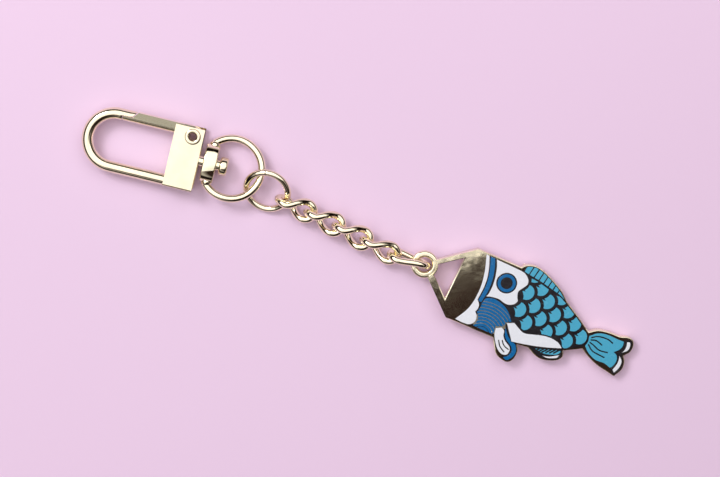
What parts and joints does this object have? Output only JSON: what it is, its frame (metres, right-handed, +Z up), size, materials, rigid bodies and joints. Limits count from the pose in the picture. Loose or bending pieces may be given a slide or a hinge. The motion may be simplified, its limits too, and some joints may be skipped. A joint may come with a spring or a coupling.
{
  "type": "enamelled key charm",
  "caption": "Gold-plated key charm: an enamelled carp streamer pendant on a short curb chain with a jump ring and a swivel snap clasp.",
  "frame": {"origin": "under the middle of the object's box, on the plane it lies on", "axes": "+X from the hook's bow along the clasp towards the charm, +Z up out of the charm's enamelled face"},
  "size_m": [0.1062, 0.0286, 0.0048],
  "materials": {
    "gold_polished": "polished light gold plating",
    "gold_satin": "satin light gold plating",
    "spring_steel": "drawn wire",
    "enamel_white": "polished hard enamel",
    "enamel_blue": "polished hard enamel",
    "enamel_teal": "polished hard enamel",
    "enamel_black": "polished hard enamel"
  },
  "bodies": {
    "clasp": {"hook_frame": "gold_polished", "housing": "gold_polished", "gate_rivet": "gold_polished", "gate_spring": "spring_steel", "swivel_stem": "gold_polished"},
    "gate": {"gate": "gold_satin"},
    "eye": {"swivel_eye": "gold_polished"},
    "jump_ring": {"jump_ring": "gold_polished"},
    "link_1": {"chain_link_1": "gold_polished"},
    "link_2": {"chain_link_2": "gold_polished"},
    "link_3": {"chain_link_3": "gold_polished"},
    "link_4": {"chain_link_4": "gold_polished"},
    "link_5": {"chain_link_5": "gold_polished"},
    "charm": {"charm_plate": "gold_polished", "collar_white": "enamel_white", "collar_blue": "enamel_blue", "face_white": "enamel_white", "eye_blue": "enamel_blue", "eye_pupil": "enamel_black", "gill_blue": "enamel_blue", "scale_ground": "enamel_black", "scales_teal": "enamel_teal", "dorsal_fin": "enamel_teal", "belly_fin": "enamel_white", "pectoral_white": "enamel_white", "pectoral_blue": "enamel_blue", "anal_ground": "enamel_black", "anal_teal": "enamel_teal", "anal_white": "enamel_white", "tail_teal": "enamel_teal", "tail_ground": "enamel_black", "tail_white": "enamel_white"}
  },
  "joints": [
    {"name": "gate_hinge", "type": "hinge", "parent": "clasp", "child": "gate", "pos_m": [-0.03361, 0.01242, 0.00242], "axis": [0, 0, 1], "range_deg": [0, 28], "stiffness_Nm_per_rad": 0.008, "springref_deg": -22.92},
    {"name": "swivel", "type": "hinge", "parent": "clasp", "child": "eye", "pos_m": [-0.02961, 0.00827, 0.00242], "axis": [1, 0, 0], "continuous": true},
    {"name": "ring_round_eye", "type": "hinge", "parent": "eye", "child": "jump_ring", "pos_m": [-0.02563, 0.00827, 0.00242], "axis": [0, 0.1392, 0.9903], "range_deg": [-60, 80]},
    {"name": "link_1_on_ring", "type": "hinge", "parent": "jump_ring", "child": "link_1", "pos_m": [-0.01493, 0.00449, 0.00213], "axis": [0.3486, 0.8144, 0.464], "range_deg": [-30, 30]},
    {"name": "link_2_turn", "type": "hinge", "parent": "link_1", "child": "link_2", "pos_m": [-0.0107, 0.00392, 0.00242], "axis": [0, 0, 1], "range_deg": [-30, 30]},
    {"name": "link_3_swing", "type": "hinge", "parent": "link_2", "child": "link_3", "pos_m": [-0.00381, 0.00244, 0.00242], "axis": [0.2096, 0.9778, 0], "range_deg": [-30, 30]},
    {"name": "link_4_turn", "type": "hinge", "parent": "link_3", "child": "link_4", "pos_m": [0.00032, 0.00144, 0.00242], "axis": [0, 0, 1], "range_deg": [-30, 30]},
    {"name": "link_5_swing", "type": "hinge", "parent": "link_4", "child": "link_5", "pos_m": [0.00715, -0.0003, 0.00242], "axis": [0.2386, 0.936, 0.2588], "range_deg": [-30, 30]},
    {"name": "charm_turn", "type": "hinge", "parent": "link_5", "child": "charm", "pos_m": [0.01283, -0.00038, 0.00242], "axis": [0.035, -0.0068, 0.9994], "range_deg": [-30, 30]}
  ]
}
